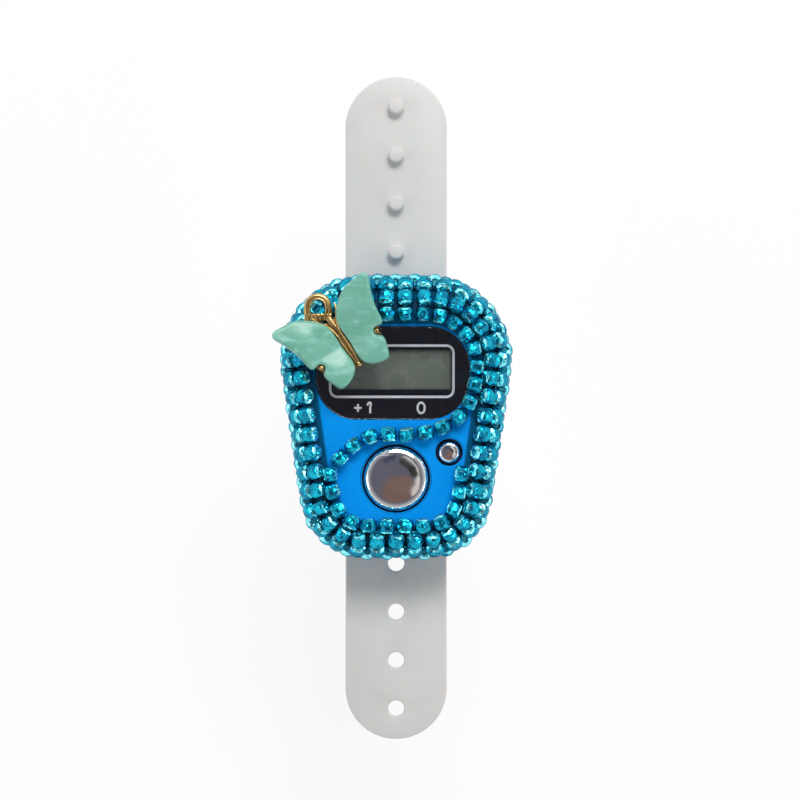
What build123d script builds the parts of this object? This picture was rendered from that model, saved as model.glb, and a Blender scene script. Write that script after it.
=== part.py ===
import math
import os

from build123d import *

# Case: a rounded trapezoid in plan, broad at the display end. X runs across it, Y along it to the display
# end, Z up out of the face. Heights are counted from the ground faces of the strap bridges.
case_length = 36.5
case_top_width = 32.0
case_bottom_width = 21.4
case_top_corner = 10.0
case_bottom_corner = 7.6
case_height = 11.3
shell_wall = 1.6
face_thickness = 1.8
shoulder_radius = 3.0
rear_depth = 2.5
rear_floor = 1.4
rear_edge_radius = 0.8
lip_height = 1.2
lip_thickness = 0.8
lip_clearance = 0.1

# Finger strap: one silicone band with pegs on one tail and holes in the other
strap_length = 98.2
strap_width = 15.0
strap_thickness = 1.2
strap_edge_radius = 0.3
strap_slip = 1.24
strap_clearance = 0.15
strap_side_clearance = 0.3
strap_fold_y = 12.0
strap_end_margin = 4.5
strap_pitch = 7.18
strap_stops = 4
peg_radius = 1.15
peg_height = 1.7
peg_round = 0.45
hole_radius = 1.2
hole_rim = 0.3

# Bridges that hold the strap to the back of the case
bridge_thickness = 1.2
bridge_leg = 1.6
bridge_length = 2.6
bridge_y = 8.3
bridge_edge = 0.3

# Case screws, driven from the back
screw_shank_radius = 0.8
screw_head_radius = 1.5
screw_head_height = 1.0
screw_grip = 4.4
screw_sink = 1.2
screw_clearance = 0.1
screw_slot_width = 0.5
screw_slot_depth = 0.4
boss_radius = 1.7
boss_gap = 0.05
screw_tip_gap = 0.4
upper_screw_x, upper_screw_y = 8.8, 13.2
lower_screw_x, lower_screw_y = 8.0, -11.8

# Display window and the cell behind it
window_width = 22.2
window_length = 13.4
window_corner = 6.0
window_x, window_y = -0.5, 6.3
window_clearance = 0.1
lens_thickness = 0.8
lens_edge_radius = 0.2
mask_thickness = 0.1
mask_gap = 0.05
aperture_width = 16.6
aperture_length = 5.7
aperture_x, aperture_y = -0.4, 6.75
aperture_margin = 0.3
cell_width = 18.4
cell_length = 8.8
cell_y = 6.5
cell_ledge = 1.9
polariser_thickness = 0.15
glass_thickness = 0.6
foam_thickness = 1.3
zebra_width = 16.0
zebra_length = 1.4
rib_thickness = 0.8
rib_depth = 1.4
rib_clearance = 0.15

# Circuit board and what it carries
board_thickness = 1.0
board_clearance = 0.4
board_notch = 0.3
left_board_screw_x, left_board_screw_y = -8.8, -1.6
right_board_screw_x, right_board_screw_y = 9.3, -0.9
board_boss_radius = 1.5
board_screw_grip = 1.7
board_screw_head_radius = 1.3
board_screw_head_height = 0.8
board_screw_shank_radius = 0.6
glob_radius = 2.6
glob_height = 1.1
glob_round = 0.8
glob_y = -11.4
capacitor_length = 1.6
capacitor_width = 0.8
capacitor_height = 0.8
capacitor_pitch = 3.6
capacitor_count = 3
capacitor_y = 10.6

# Push buttons with a rubber dome and a carbon pill under each
count_x, count_y = 0.0, -8.8
count_radius = 4.5
count_proud = 0.8
count_crown = 0.25
count_bevel = 0.45
count_travel = 0.9
count_gap = 0.4
count_flange = 1.1
count_dome_radius = 3.4
count_dome_top_radius = 2.2
count_pill_radius = 1.2
reset_x, reset_y = 7.6, -5.05
reset_radius = 1.5
reset_proud = 0.3
reset_crown = 0.1
reset_bevel = 0.25
reset_travel = 0.7
reset_gap = 0.45
reset_flange = 1.0
reset_dome_radius = 2.3
reset_dome_top_radius = 1.5
reset_pill_radius = 0.8
flange_thickness = 0.5
flange_clearance = 0.06
stem_length = 0.3
stem_clearance = 0.04
dome_wall = 0.5
dome_roof = 0.6
pill_thickness = 0.4
hole_chamfer = 0.25

# Button cell, its holder and contacts, and the turning cap over it
battery_radius = 5.8
battery_height = 3.05
battery_step = 0.9
battery_step_height = 0.5
battery_gap = 0.05
holder_wall = 0.7
contact_thickness = 0.2
contact_gap = 0.05
contact_width = 3.0
contact_sweep = 28.0
contact_foot = 2.6
contact_reach = 3.2
contact_touch = 1.6
cap_radius = 6.7
cap_clearance = 0.1
cap_floor = 1.2
cap_wall = 0.75
cap_rise = 0.7
cap_lug = 0.9
cap_lug_sweep = 26.0
cap_lug_clearance = 0.08
cap_notch_spare = 3.0
cap_turn = 45.0
coin_slot_length = 9.0
coin_slot_width = 1.4
coin_slot_depth = 0.6

# Seed beads glued round the rim in rows, from the face over the shoulder and down, and one row across the face
bead_radius = 1.12
bead_length = 1.85
bead_hole_radius = 0.42
bead_round = 0.5
bead_glue = 0.05
bead_pitch = 2.56
column_pitch = 2.72
row_pitch = 2.2
face_row_arc = 0.2
row_shift_shares = (0.5, 0.5, 0, 0.5, 0)
top_draws = (-0.8, -0.65, -0.3)
top_row_shares = (0.38, 0.7)
face_row_right_shares = (-0.39, 0.15)
face_row_left_shares = (-0.44, 0.45)
divider_shares = ((-0.45, -0.275), (-0.2, -0.148), (0.13, -0.135), (0.44, -0.07))

# Butterfly charm: a metal frame with a loop at the head, and two resin wings on it
charm_x, charm_y = -7.74, 11.27
charm_turn = 34.0
charm_lift = 2.45
charm_dihedral = 11.0
wing_span = 8.45
wing_height = 11.8
wing_thickness = 1.4
wing_corner = 0.32
wing_lead_shares = ((0.115, 0.127), (0.187, 0.263), (0.356, 0.386), (0.568, 0.47), (0.81, 0.493))
wing_tip_share = (0.985, 0.47)
wing_side_share = (0.845, 0.165)
wing_corner_share = (0.745, -0.139)
wing_notch_share = (0.545, -0.165)
wing_hind_share = (0.632, -0.258)
wing_flank_share = (0.595, -0.4)
wing_heel_share = (0.487, -0.525)
wing_tail_share = (0.24, -0.475)
wing_root_share = (0.108, -0.35)
frame_thickness = 0.7
frame_shares = ((0, 0.22), (0.76, 0.38), (0.66, -0.16), (0.46, -0.44), (0, -0.38))
spine_width = 0.8
spine_height = 1.9
spine_tail_share = -0.37
spine_head_share = 0.28
loop_share = (-0.04, 0.458)
loop_turn = -32.0
loop_radius = 2.05
loop_hole_radius = 1.1
loop_thickness = 1.0
loop_leg = 2.0
loop_bar = 0.9
glue_radius = 1.6
glue_inset = 1.9

strap_z = bridge_thickness + strap_clearance
back_z = strap_z + strap_thickness + strap_clearance
floor_z = back_z + rear_floor
parting_z = back_z + rear_depth
face_z = back_z + case_height
ceiling_z = face_z - face_thickness
window_depth = lens_thickness + mask_gap + mask_thickness
polariser_z = ceiling_z - polariser_thickness
front_glass_z = polariser_z - glass_thickness
rear_glass_z = front_glass_z - glass_thickness
reflector_z = rear_glass_z - polariser_thickness
board_top_z = reflector_z - foam_thickness
board_z = board_top_z - board_thickness
battery_z = back_z + cap_floor + battery_gap
holder_z = floor_z + cap_rise + cap_wall / 2
flange_top_z = ceiling_z - flange_clearance
stem_z = flange_top_z - flange_thickness - stem_length
dome_top_z = stem_z - stem_clearance
bead_lift = bead_radius + bead_glue
charm_z = face_z + charm_lift

case_screw_places = (
    (-upper_screw_x, upper_screw_y),
    (upper_screw_x, upper_screw_y),
    (-lower_screw_x, lower_screw_y),
    (lower_screw_x, lower_screw_y),
)
board_screw_places = (
    (left_board_screw_x, left_board_screw_y),
    (right_board_screw_x, right_board_screw_y),
)


def save(name, shape):
    # The origin is moved from the case's middle to the strap's
    export_step(Pos(0, -strap_slip, 0) * shape, f"parts/{name}.step")


def slab(plan, bottom_z, top_z):
    return Pos(0, 0, bottom_z) * extrude(plan, top_z - bottom_z, dir=(0, 0, 1))


def rod(x, y, radius, bottom_z, top_z):
    return Pos(x, y, (bottom_z + top_z) / 2) * Cylinder(radius, top_z - bottom_z)


def block(x, y, width, length, bottom_z, top_z):
    return Pos(x, y, (bottom_z + top_z) / 2) * Box(width, length, top_z - bottom_z)


def sector(inner, outer, middle_angle, sweep, bottom_z, top_z):
    wedge = Cylinder(outer, top_z - bottom_z, arc_size=sweep, align=None)
    wedge = Pos(0, 0, bottom_z) * Rot(0, 0, middle_angle - sweep / 2) * wedge
    return wedge - rod(0, 0, inner, bottom_z, top_z) if inner else wedge


def turned(profile):
    # A closed profile of radius and height, spun about the vertical
    return revolve(Plane.XZ * make_face(profile), Axis.Z)


def case_outline(inset):
    bottom, top = -case_length / 2, case_length / 2
    corners = (
        (-case_bottom_width / 2, bottom),
        (case_bottom_width / 2, bottom),
        (case_top_width / 2, top),
        (-case_top_width / 2, top),
    )
    outline = make_face(Polyline(*corners, close=True))
    outline = fillet(outline.vertices().group_by(Axis.Y)[0], case_bottom_corner)
    outline = fillet(outline.vertices().group_by(Axis.Y)[-1], case_top_corner)
    return offset(outline, -inset) if inset else outline


def window_outline(inset):
    corner = window_corner - inset
    return Pos(window_x, window_y) * RectangleRounded(
        window_width - inset - inset, window_length - inset - inset, corner
    )


def front_shell():
    body = slab(case_outline(0), parting_z, face_z)
    body = fillet(body.edges().group_by(Axis.Z)[-1], shoulder_radius)
    body -= slab(case_outline(shell_wall), parting_z, ceiling_z)
    for x, y in case_screw_places:
        body += rod(x, y, boss_radius, parting_z + boss_gap, ceiling_z)
    for x, y in board_screw_places:
        body += rod(x, y, board_boss_radius, board_top_z, ceiling_z)
    rib_width = cell_width + rib_clearance + rib_clearance
    rib_length = cell_length + rib_clearance + rib_clearance
    rib = block(
        aperture_x, cell_y, rib_width + rib_thickness * 2, rib_length + rib_thickness * 2,
        ceiling_z - rib_depth, ceiling_z,
    )
    body += rib - block(aperture_x, cell_y, rib_width, rib_length, ceiling_z - rib_depth, ceiling_z)
    body -= slab(window_outline(0), face_z - window_depth, face_z)
    opening_width = aperture_width + aperture_margin * 2
    opening_length = aperture_length + aperture_margin * 2
    body -= block(aperture_x, aperture_y, opening_width, opening_length, ceiling_z, face_z)
    for x, y, radius in (
        (count_x, count_y, count_radius + count_gap),
        (reset_x, reset_y, reset_radius + reset_gap),
    ):
        body -= rod(x, y, radius, ceiling_z, face_z)
        funnel = Cone(radius, radius + hole_chamfer, hole_chamfer)
        body -= Pos(x, y, face_z - hole_chamfer / 2) * funnel
    for x, y in case_screw_places:
        tip_z = back_z + screw_sink + rear_floor + screw_grip + screw_tip_gap
        body -= rod(x, y, screw_shank_radius, parting_z, tip_z)
    for x, y in board_screw_places:
        tip_z = board_top_z + board_screw_grip + screw_tip_gap
        body -= rod(x, y, board_screw_shank_radius, board_top_z, tip_z)
    return body


def rear_cover():
    body = slab(case_outline(0), back_z, parting_z)
    body = fillet(body.edges().group_by(Axis.Z)[0], rear_edge_radius)
    lip_outer = shell_wall + lip_clearance
    lip_inner = lip_outer + lip_thickness
    body += slab(case_outline(lip_outer), parting_z, parting_z + lip_height)
    body -= slab(case_outline(lip_inner), floor_z, parting_z + lip_height)
    for x, y in case_screw_places:
        body -= rod(x, y, boss_radius + lip_clearance, parting_z, parting_z + lip_height)
        body += rod(x, y, boss_radius, back_z, parting_z)
        body -= rod(x, y, screw_shank_radius + screw_clearance, back_z, parting_z)
        body -= rod(x, y, screw_head_radius + screw_clearance, back_z, back_z + screw_sink)
    body -= rod(0, 0, cap_radius + cap_clearance, back_z, floor_z)
    for side in (0, 180):
        lug_reach = cap_radius + cap_lug + cap_clearance
        body -= sector(0, lug_reach, cap_turn + side, cap_lug_sweep + cap_notch_spare * 2, back_z, floor_z)
    bridge_width = strap_width + (strap_side_clearance + bridge_leg) * 2
    tunnel_width = strap_width + strap_side_clearance * 2
    for y in (-bridge_y, bridge_y):
        bridge = block(0, y, bridge_width, bridge_length, 0, back_z)
        bridge = chamfer(bridge.edges().group_by(Axis.Z)[0], bridge_edge)
        bridge -= block(0, y, tunnel_width, bridge_length, bridge_thickness, back_z)
        body += bridge
    return body


def slotted_screw(x, y, head_z, head_radius, head_height, shank_radius, shank_length):
    # A screw pointing up, its head's slot open below
    body = rod(x, y, head_radius, head_z, head_z + head_height)
    body += rod(x, y, shank_radius, head_z + head_height, head_z + head_height + shank_length)
    return body - block(x, y, head_radius * 2, screw_slot_width, head_z, head_z + screw_slot_depth)


def case_screws():
    head_z = back_z + screw_sink - screw_head_height
    return Compound([
        slotted_screw(
            x, y, head_z, screw_head_radius, screw_head_height, screw_shank_radius, rear_floor + screw_grip
        ).solid()
        for x, y in case_screw_places
    ])


def board_screws():
    head_z = board_z - board_screw_head_height
    return Compound([
        slotted_screw(
            x, y, head_z, board_screw_head_radius, board_screw_head_height,
            board_screw_shank_radius, board_thickness + board_screw_grip,
        ).solid()
        for x, y in board_screw_places
    ])


def window_lens():
    plan = window_outline(window_clearance)
    lens = slab(plan, face_z - lens_thickness, face_z)
    return fillet(lens.edges().group_by(Axis.Z)[-1], lens_edge_radius)


def window_mask():
    bottom_z = face_z - window_depth
    top_z = bottom_z + mask_thickness
    mask = slab(window_outline(window_clearance), bottom_z, top_z)
    return mask - block(aperture_x, aperture_y, aperture_width, aperture_length, bottom_z, top_z)


def circuit_board():
    plan_inset = shell_wall + lip_clearance + lip_thickness + board_clearance
    board = slab(case_outline(plan_inset), board_z, board_top_z)
    for x, y in case_screw_places:
        board -= rod(x, y, boss_radius + board_notch, board_z, board_top_z)
    for x, y in board_screw_places:
        board -= rod(x, y, board_screw_shank_radius + screw_clearance, board_z, board_top_z)
    return board


def chip_glob():
    glob = rod(0, glob_y, glob_radius, board_z - glob_height, board_z)
    return fillet(glob.edges().group_by(Axis.Z)[0], glob_round)


def chip_capacitors():
    chips = []
    for index in range(capacitor_count):
        x = (index - (capacitor_count - 1) / 2) * capacitor_pitch
        chip = block(x, capacitor_y, capacitor_length, capacitor_width, board_z - capacitor_height, board_z)
        chips.append(chip.solid())
    return Compound(chips)


def push_button(x, y, radius, proud, crown, bevel, flange):
    top_z = face_z + proud
    rim_z = top_z - crown
    flange_z = flange_top_z - flange_thickness
    flat = radius - bevel
    stem = flat / 2
    dome = ThreePointArc((0, top_z), (flat / 2, top_z - crown / 4), (flat, rim_z))
    sides = Polyline(
        (flat, rim_z),
        (radius, rim_z - bevel),
        (radius, flange_top_z),
        (radius + flange, flange_top_z),
        (radius + flange, flange_z),
        (stem, flange_z),
        (stem, stem_z),
        (0, stem_z),
        (0, top_z),
    )
    return Pos(x, y) * turned(dome + sides)


def rubber_dome(x, y, radius, top_radius):
    height = dome_top_z - board_top_z
    dome = Pos(0, 0, board_top_z + height / 2) * Cone(radius, top_radius, height)
    hollow_height = height - dome_roof
    hollow = Cone(radius - dome_wall, top_radius - dome_wall + dome_wall / 2, hollow_height)
    return Pos(x, y) * (dome - Pos(0, 0, board_top_z + hollow_height / 2) * hollow)


def carbon_pill(x, y, radius):
    pill_top_z = dome_top_z - dome_roof
    return rod(x, y, radius, pill_top_z - pill_thickness, pill_top_z)


def button_cell():
    can = rod(0, 0, battery_radius, battery_z, battery_z + battery_height - battery_step_height)
    return can + rod(0, 0, battery_radius - battery_step, battery_z, battery_z + battery_height)


def cell_holder():
    inner = battery_radius + contact_gap + contact_thickness + contact_gap
    return rod(0, 0, inner + holder_wall, holder_z, board_z) - rod(0, 0, inner, holder_z, board_z)


def positive_contact():
    inner = battery_radius + contact_gap
    return sector(inner, inner + contact_thickness, 0, contact_sweep, holder_z, board_z)


def negative_contact():
    foot_z = board_z - contact_thickness / 2
    touch_z = battery_z + battery_height + contact_gap + contact_thickness / 2
    path = Polyline(
        (-contact_reach / 2 - contact_foot / 2, foot_z),
        (-contact_reach / 2 + contact_foot / 2, foot_z),
        (contact_reach / 2 - contact_touch / 2, touch_z),
        (contact_reach / 2 + contact_touch / 2, touch_z),
    )
    strip = Plane.YZ * trace(path, contact_thickness)
    return extrude(strip, contact_width / 2, both=True)


def battery_cap():
    rise_z = floor_z + cap_rise
    cap = rod(0, 0, cap_radius, back_z, rise_z)
    for side in (0, 180):
        lug_z = floor_z + cap_lug_clearance
        cap += sector(cap_radius - cap_wall / 2, cap_radius + cap_lug, side, cap_lug_sweep, lug_z, rise_z)
    cap -= rod(0, 0, cap_radius - cap_wall, back_z + cap_floor, rise_z)
    return cap - block(0, 0, coin_slot_length, coin_slot_width, back_z, back_z + coin_slot_depth)


def strap_stop_places(end):
    # Peg or hole centres on one tail, the outermost first
    reach = strap_length / 2 - strap_end_margin
    return [strap_slip + end * (reach - index * strap_pitch) for index in range(strap_stops)]


def strap():
    plan = Pos(0, strap_slip) * SlotOverall(strap_length, strap_width, rotation=90)
    band = slab(plan, strap_z, strap_z + strap_thickness)
    rims = band.edges().group_by(Axis.Z)
    band = fillet(rims[0] + rims[-1], strap_edge_radius)
    top_z = strap_z + strap_thickness
    for y in strap_stop_places(1):
        peg = rod(0, y, peg_radius, strap_z + strap_thickness / 2, top_z + peg_height)
        band += fillet(peg.edges().group_by(Axis.Z)[-1], peg_round)
    for y in strap_stop_places(-1):
        band -= rod(0, y, hole_radius, strap_z, top_z)
        band -= Pos(0, y, top_z - hole_rim / 2) * Cone(hole_radius, hole_radius + hole_rim, hole_rim)
    return band


def strap_length_part(band, start_y, end_y):
    height = strap_thickness + peg_height
    cutter = block(0, (start_y + end_y) / 2, strap_width * 2, end_y - start_y, strap_z, strap_z + height)
    return band & cutter


def seed_bead():
    bead = Cylinder(bead_radius, bead_length)
    bead = fillet(bead.edges(), bead_round)
    return (bead - Cylinder(bead_hole_radius, bead_length)).solid()


def rim_stations(inset, pitch, shift=row_shift_shares[0]):
    # Equal places round the outline at this inset, each with its outward direction
    path = case_outline(inset).wire()
    count = round(path.length / pitch)
    start = path.length * path.param_at_point((0, case_length / 2 - inset))
    stations = []
    for index in range(count):
        along = (start + (index + shift) * path.length / count) % path.length
        point = path.position_at(along, position_mode=PositionMode.LENGTH)
        tangent = path.tangent_at(along, position_mode=PositionMode.LENGTH)
        outward = Vector(tangent.Y, -tangent.X)
        if outward.dot(point) < 0:
            outward = outward * -1
        stations.append((point, outward))
    return stations


def rim_profile(arc):
    # How far out of the case outline a row lies, its height, and its tilt over the shoulder
    reach = shoulder_radius + bead_lift
    quarter = reach * math.pi / 2
    tilt = min(max(arc / reach, 0), math.pi / 2)
    beyond = max(arc - quarter, 0)
    before = min(arc, 0)
    out = reach * math.sin(tilt) - shoulder_radius + before
    height = face_z - shoulder_radius + reach * math.cos(tilt) - beyond
    return out, height, tilt


def top_share(y):
    # 0 beside the display and 1 along the top, where the first rows draw in towards it
    start_y, end_y = (share * case_length / 2 for share in top_row_shares)
    return min(max((y - start_y) / (end_y - start_y), 0), 1)


def rim_row(arc, draw, shift):
    # Beads of one row: the shoulder rows stand in columns, and the side rows below them lie like bricks
    planes = []
    for point, outward in rim_stations(0, column_pitch, shift):
        out, height, tilt = rim_profile(arc + draw * top_share(point.Y))
        centre = point + outward * out
        axis = outward * math.cos(tilt) + Vector(0, 0, -math.sin(tilt))
        planes.append(Plane((centre.X, centre.Y, height), z_dir=axis))
    return planes


def face_row(top):
    # The row on the face is left out beside the display
    out = rim_profile(face_row_arc)[0]
    planes = []
    for point, outward in rim_stations(-out, bead_pitch):
        low, high = face_row_right_shares if point.X > 0 else face_row_left_shares
        beside = low * case_length / 2 <= point.Y <= high * case_length / 2
        if beside or (top_share(point.Y) == 1) != top:
            continue
        row_out, height, tilt = rim_profile(face_row_arc + top_draws[0] * top_share(point.Y))
        centre = point + outward * (row_out - out)
        axis = outward * math.cos(tilt) + Vector(0, 0, -math.sin(tilt))
        planes.append(Plane((centre.X, centre.Y, height), z_dir=axis))
    return planes


def divider_planes(ring):
    # The row across the face runs between the two ends of the row round it, left and right of the display
    centres = [plane.origin for plane in ring]
    start = max((centre for centre in centres if centre.X < 0 and centre.Y < 0), key=lambda centre: centre.Y)
    end = min((centre for centre in centres if centre.X > 0 and centre.Y > 0), key=lambda centre: centre.Y)
    half_width, half_length = case_top_width / 2, case_length / 2
    between = [(x * half_width, y * half_length) for x, y in divider_shares]
    path = Spline((start.X, start.Y), *between, (end.X, end.Y))
    count = round(path.length / bead_pitch)
    planes = []
    for index in range(1, count):
        point = path.position_at(index / count)
        tangent = path.tangent_at(index / count)
        planes.append(Plane((point.X, point.Y, face_z + bead_lift), z_dir=(tangent.Y, -tangent.X, 0)))
    return planes


def bead_rows():
    rows = {"bead_row_top": face_row(True), "bead_row_face": face_row(False)}
    names = ("shoulder_upper", "shoulder_lower", "side_upper", "side_middle", "side_lower")
    draws = top_draws[1:] + (0,) * len(names)
    for index, name in enumerate(names):
        arc = face_row_arc + (index + 1) * row_pitch
        rows[f"bead_row_{name}"] = rim_row(arc, draws[index], row_shift_shares[index])
    rows["bead_row_divider"] = divider_planes(rows["bead_row_top"] + rows["bead_row_face"])
    return rows


def wing_point(share):
    return share[0] * wing_span, share[1] * wing_height


def wing():
    # The wing on the +X side of the spine, flat on its half of the frame
    lead_points = [wing_point(share) for share in wing_lead_shares]
    tip, corner, hind = map(wing_point, (wing_tip_share, wing_corner_share, wing_hind_share))
    heel, root = wing_point(wing_heel_share), wing_point(wing_root_share)
    lead = Spline(*lead_points) + Line(lead_points[-1], tip)
    side = ThreePointArc(tip, wing_point(wing_side_share), corner)
    notch = Polyline(corner, wing_point(wing_notch_share), hind)
    flank = ThreePointArc(hind, wing_point(wing_flank_share), heel)
    tail = ThreePointArc(heel, wing_point(wing_tail_share), root)
    plan = make_face(lead + side + notch + flank + tail + Line(root, lead_points[0]))
    plan = fillet(plan.vertices(), wing_corner)
    return Rot(0, -charm_dihedral, 0) * slab(plan, frame_thickness, frame_thickness + wing_thickness)


def charm_frame():
    plan = make_face(Polyline(*[wing_point(share) for share in frame_shares], close=True))
    half = Rot(0, -charm_dihedral, 0) * slab(plan, 0, frame_thickness)
    tail_y = spine_tail_share * wing_height
    head_y = spine_head_share * wing_height
    frame = half + mirror(half, Plane.YZ)
    frame += block(0, (tail_y + head_y) / 2, spine_width, head_y - tail_y, 0, spine_height)
    loop = Circle(loop_radius) + Pos(0, -loop_leg / 2) * Rectangle(loop_radius * 2, loop_leg)
    hole_leg = loop_leg - loop_bar
    loop -= Circle(loop_hole_radius)
    loop -= Pos(0, -hole_leg / 2) * Rectangle(loop_hole_radius * 2, hole_leg)
    # The loop hangs upright on the case, so it is turned against the lean of the butterfly
    return frame + Pos(*wing_point(loop_share)) * Rot(0, 0, loop_turn) * slab(loop, 0, loop_thickness)


os.makedirs("parts", exist_ok=True)

save("front_shell", front_shell())
save("rear_cover", rear_cover())
save("case_screws", case_screws())
save("window_lens", window_lens())
save("window_mask", window_mask())
save("lcd_front_polariser", block(aperture_x, cell_y, cell_width, cell_length, polariser_z, ceiling_z))
save("lcd_front_glass", block(aperture_x, cell_y, cell_width, cell_length, front_glass_z, polariser_z))
rear_y = cell_y + cell_ledge / 2
rear_length = cell_length - cell_ledge
save("lcd_rear_glass", block(aperture_x, rear_y, cell_width, rear_length, rear_glass_z, front_glass_z))
save("lcd_reflector", block(aperture_x, rear_y, cell_width, rear_length, reflector_z, rear_glass_z))
save("lcd_foam_pad", block(aperture_x, rear_y, cell_width, rear_length, board_top_z, reflector_z))
zebra_y = cell_y - cell_length / 2 + cell_ledge / 2
save("zebra_strip", block(aperture_x, zebra_y, zebra_width, zebra_length, board_top_z, front_glass_z))
save("circuit_board", circuit_board())
save("chip_glob", chip_glob())
save("chip_capacitors", chip_capacitors())
save("board_screws", board_screws())
save("count_button", push_button(
    count_x, count_y, count_radius, count_proud, count_crown, count_bevel, count_flange
))
save("count_dome", rubber_dome(count_x, count_y, count_dome_radius, count_dome_top_radius))
save("count_pill", carbon_pill(count_x, count_y, count_pill_radius))
save("reset_button", push_button(
    reset_x, reset_y, reset_radius, reset_proud, reset_crown, reset_bevel, reset_flange
))
save("reset_dome", rubber_dome(reset_x, reset_y, reset_dome_radius, reset_dome_top_radius))
save("reset_pill", carbon_pill(reset_x, reset_y, reset_pill_radius))
save("button_cell", button_cell())
save("cell_holder", cell_holder())
save("positive_contact", positive_contact())
save("negative_contact", negative_contact())
save("battery_cap", battery_cap())

strap_band = strap()
strap_end = strap_length / 2
save("strap_middle", strap_length_part(strap_band, -strap_fold_y, strap_fold_y))
save("strap_upper_tail", strap_length_part(strap_band, strap_fold_y, strap_slip + strap_end))
save("strap_lower_tail", strap_length_part(strap_band, strap_slip - strap_end, -strap_fold_y))

bead = seed_bead()
for row_name, planes in bead_rows().items():
    save(row_name, Compound([bead.moved(plane.location) for plane in planes]))

charm_place = Pos(charm_x, charm_y, charm_z) * Rot(0, 0, charm_turn)
right_wing = wing()
save("charm_frame", charm_place * charm_frame())
save("charm_wing_right", charm_place * right_wing)
save("charm_wing_left", charm_place * mirror(right_wing, Plane.YZ))
glue_turn = math.radians(charm_turn)
glue_x = charm_x + glue_inset * math.sin(glue_turn)
glue_y = charm_y - glue_inset * math.cos(glue_turn)
save("charm_glue", rod(glue_x, glue_y, glue_radius, face_z, charm_z))
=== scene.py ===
import bmesh
import bpy
import math
import random
from mathutils import Matrix, Vector


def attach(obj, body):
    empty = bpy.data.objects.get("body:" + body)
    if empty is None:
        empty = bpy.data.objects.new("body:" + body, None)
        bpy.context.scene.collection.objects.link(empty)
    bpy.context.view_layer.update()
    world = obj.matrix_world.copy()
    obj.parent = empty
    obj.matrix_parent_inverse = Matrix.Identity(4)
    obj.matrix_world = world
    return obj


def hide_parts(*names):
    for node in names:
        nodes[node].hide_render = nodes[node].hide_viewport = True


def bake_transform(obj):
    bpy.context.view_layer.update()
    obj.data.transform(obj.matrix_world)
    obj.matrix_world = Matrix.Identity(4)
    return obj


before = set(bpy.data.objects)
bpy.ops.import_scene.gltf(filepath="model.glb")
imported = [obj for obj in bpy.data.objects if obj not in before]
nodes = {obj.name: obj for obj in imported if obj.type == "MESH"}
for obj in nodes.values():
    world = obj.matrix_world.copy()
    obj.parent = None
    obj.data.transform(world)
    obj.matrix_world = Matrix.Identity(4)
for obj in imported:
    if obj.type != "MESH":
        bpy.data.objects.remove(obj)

for spare in ("Cube", "Light", "Camera"):  # whatever the start file brings along
    if spare in bpy.data.objects:
        bpy.data.objects.remove(bpy.data.objects[spare])

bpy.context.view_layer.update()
mm = 0.001
slip = -1.24  # middle of the case along Y
faceZ = 14.0
countSpot, resetSpot = (0.0, -8.8 + slip), (7.6, -5.05 + slip)  # the buttons' middles
print("frame loaded:", len(nodes), "CAD nodes")


def clearSelection():
    if bpy.context.object and bpy.context.object.mode != "OBJECT":
        bpy.ops.object.mode_set(mode="OBJECT")
    bpy.ops.object.select_all(action="DESELECT")


def takeActive(obj):
    clearSelection()
    obj.select_set(True)
    bpy.context.view_layer.objects.active = obj
    return obj


def startPiece(name):
    obj = bpy.context.object
    obj.name = name
    obj.data.name = name
    return obj


def settle(obj):
    takeActive(obj)
    bpy.ops.object.transform_apply(location=True, rotation=True, scale=True)


def applyModifier(obj, kind, **values):
    takeActive(obj)
    mod = obj.modifiers.new(kind.lower(), kind)
    for key, value in values.items():
        setattr(mod, key, value)
    bpy.ops.object.modifier_apply(modifier=mod.name)


def editAll(obj):
    takeActive(obj)
    bpy.ops.object.mode_set(mode="EDIT")
    bpy.ops.mesh.select_all(action="SELECT")


def leaveEdit():
    bpy.ops.object.mode_set(mode="OBJECT")


def pickFaces(obj, test):
    # select faces by place or normal, then stay in edit mode
    takeActive(obj)
    bpy.ops.object.mode_set(mode="EDIT")
    bpy.ops.mesh.select_mode(type="FACE")
    bpy.ops.mesh.select_all(action="DESELECT")
    leaveEdit()
    for face in obj.data.polygons:
        face.select = test(face)
    bpy.ops.object.mode_set(mode="EDIT")


def pickEdges(obj, test):
    # the test gets both ends of an edge
    takeActive(obj)
    bpy.ops.object.mode_set(mode="EDIT")
    bpy.ops.mesh.select_mode(type="EDGE")
    bpy.ops.mesh.select_all(action="DESELECT")
    leaveEdit()
    verts = obj.data.vertices
    for edge in obj.data.edges:
        edge.select = test(verts[edge.vertices[0]].co, verts[edge.vertices[1]].co)
    bpy.ops.object.mode_set(mode="EDIT")


def looksUp(face):
    return face.normal.z > 0.9


def looksDown(face):
    return face.normal.z < -0.9


def boxOf(spots):
    # lowest and highest corner round a list of points
    return [Vector([pick(co[i] for co in spots) for i in range(3)]) for pick in (min, max)]


def extrudeBy(rise):
    bpy.ops.mesh.extrude_region_move(TRANSFORM_OT_translate={"value": (0, 0, rise * mm)})


def joinAll(objs, name):
    clearSelection()
    for obj in objs:
        obj.select_set(True)
    bpy.context.view_layer.objects.active = objs[0]
    if len(objs) > 1:
        bpy.ops.object.join()
    return startPiece(name)


def smooth(obj, angle=40):
    takeActive(obj)
    bpy.ops.object.shade_smooth_by_angle(angle=math.radians(angle))


def outward(obj):
    editAll(obj)
    bpy.ops.mesh.remove_doubles(threshold=0.002 * mm)
    bpy.ops.mesh.normals_make_consistent(inside=False)
    leaveEdit()


def dress(obj, body, material, *replaced, slot=None):
    if material is not None:
        obj.data.materials.clear()
        obj.data.materials.append(material)
    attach(obj, body)
    if replaced:
        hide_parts(*replaced)


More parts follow.
